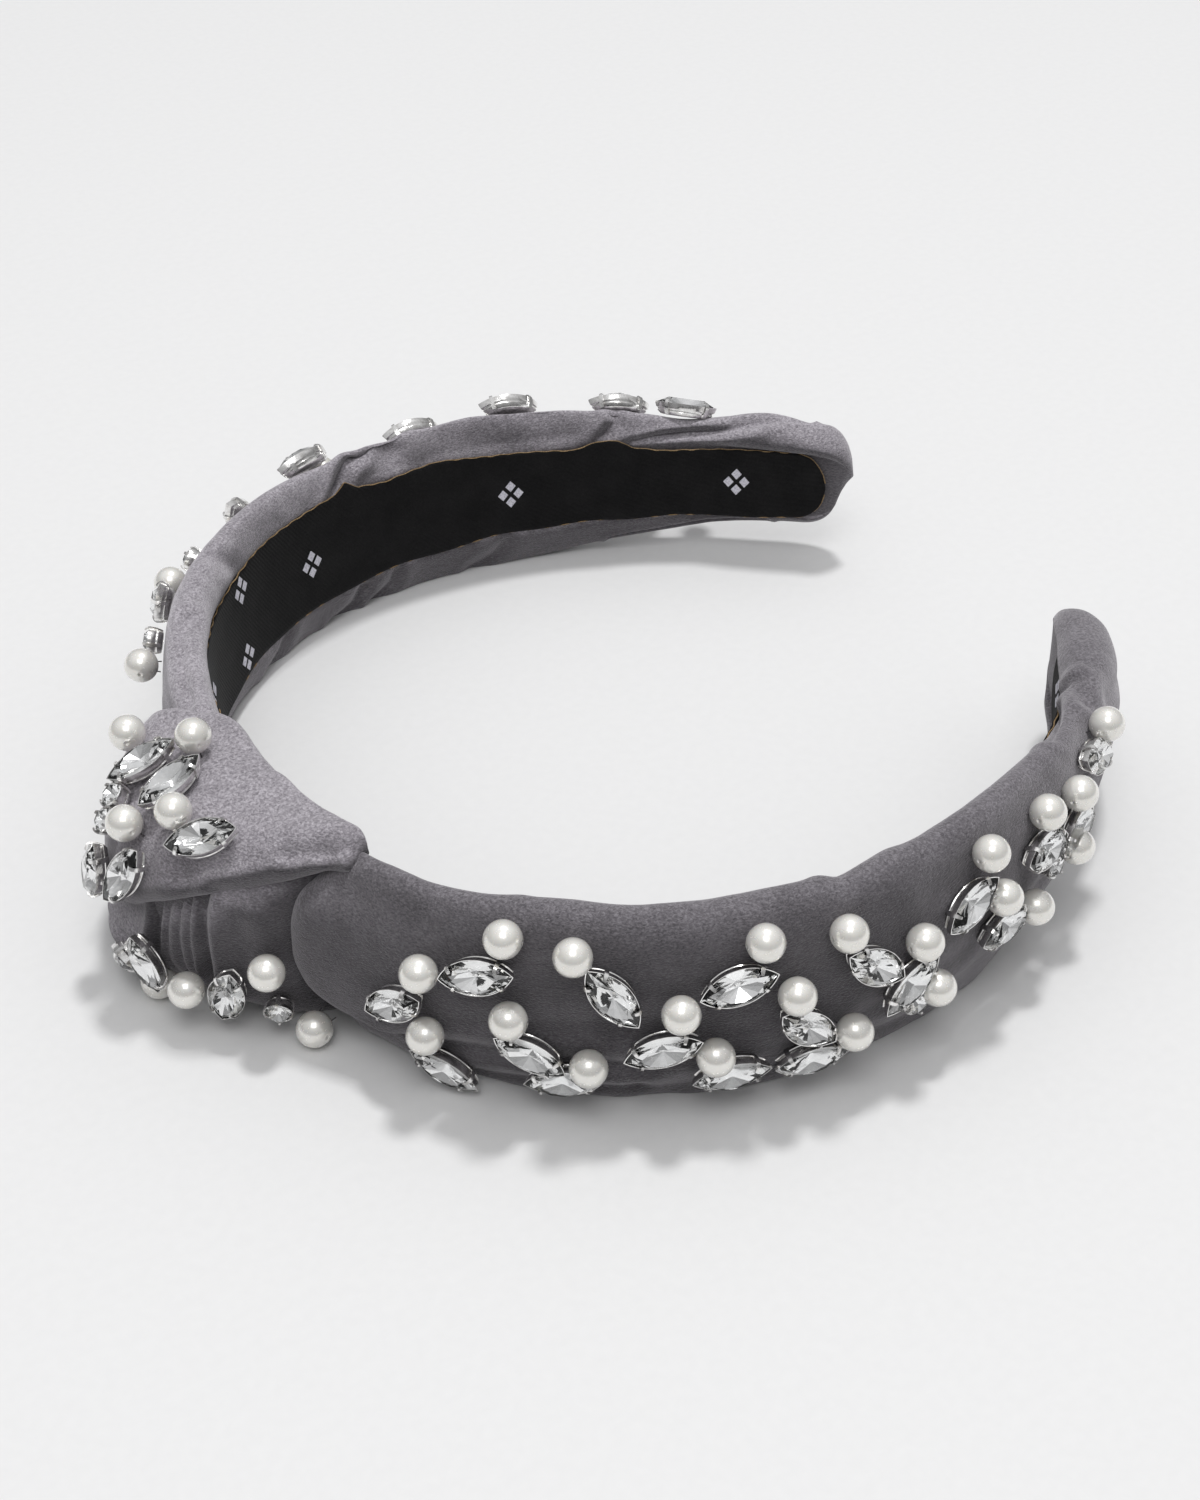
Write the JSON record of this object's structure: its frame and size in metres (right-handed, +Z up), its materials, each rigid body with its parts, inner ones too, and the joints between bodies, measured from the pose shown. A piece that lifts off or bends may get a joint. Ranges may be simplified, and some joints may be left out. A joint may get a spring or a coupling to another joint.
{
  "type": "knotted headband",
  "caption": "Wide velvet headband on a springy core, with a puffy knot at the crown and pearls and set crystals sewn over the outside.",
  "frame": {"origin": "on the surface the headband lies on, under the middle of its box", "axes": "+Z up across the band's width, +X from the knot toward the two tips, -Y toward the front arm"},
  "size_m": [0.181, 0.1768, 0.0417],
  "materials": {
    "velvet": "short dense pile, warm grey, matt with a pale sheen at grazing angles",
    "lining": "fine brushed black cloth with small scattered pale motifs",
    "foam": "cut foam padding, matt",
    "core": "moulded spring strip, satin",
    "pearl": "imitation pearl, cream, soft lustre",
    "crystal": "clear faceted glass, foil backed",
    "setting": "bright plated claw cups"
  },
  "bodies": {
    "crown": {"lining_crown": "lining", "core_crown": "core", "pad_crown": "foam", "sleeve_crown": "velvet", "knot_over_fold": "velvet", "knot_under_loop": "velvet", "stone_knot_01": "crystal", "pearl_knot_01": "pearl", "stone_knot_02": "crystal", "pearl_knot_02": "pearl", "stone_knot_03": "crystal", "pearl_knot_03": "pearl", "stone_knot_04": "crystal", "pearl_knot_04": "pearl", "stone_knot_05": "crystal", "pearl_knot_05": "pearl", "stone_knot_06": "crystal", "pearl_knot_06": "pearl"},
    "front_arm": {"lining_front": "lining", "core_front": "core", "pad_front": "foam", "sleeve_front": "velvet", "stone_front_01": "crystal", "pearl_front_01": "pearl", "stone_front_02": "crystal", "pearl_front_02": "pearl", "stone_front_03": "crystal", "pearl_front_03": "pearl", "stone_front_04": "crystal", "pearl_front_04": "pearl", "stone_front_05": "crystal", "pearl_front_05": "pearl", "stone_front_06": "crystal", "pearl_front_06": "pearl", "stone_front_07": "crystal", "pearl_front_07": "pearl", "stone_front_08": "crystal", "pearl_front_08": "pearl", "stone_front_09": "crystal", "pearl_front_09": "pearl", "stone_front_10": "crystal", "pearl_front_10": "pearl", "stone_front_11": "crystal", "pearl_front_11": "pearl", "stone_front_12": "crystal", "pearl_front_12": "pearl", "stone_front_13": "crystal", "pearl_front_13": "pearl", "stone_front_14": "crystal", "pearl_front_14": "pearl"},
    "back_arm": {"lining_back": "lining", "core_back": "core", "pad_back": "foam", "sleeve_back": "velvet", "stone_back_01": "crystal", "pearl_back_01": "pearl", "stone_back_02": "crystal", "pearl_back_02": "pearl", "stone_back_03": "crystal", "pearl_back_03": "pearl"}
  },
  "joints": [
    {"name": "front_arm_flex", "type": "hinge", "parent": "crown", "child": "front_arm", "pos_m": [-0.05915, -0.03026, 0.0173], "axis": [0, 0, -1], "range_deg": [-2, 10], "stiffness_Nm_per_rad": 1.6},
    {"name": "back_arm_flex", "type": "hinge", "parent": "crown", "child": "back_arm", "pos_m": [-0.0615, 0.02021, 0.0173], "axis": [0, 0, 1], "range_deg": [-2, 10], "stiffness_Nm_per_rad": 1.6}
  ]
}
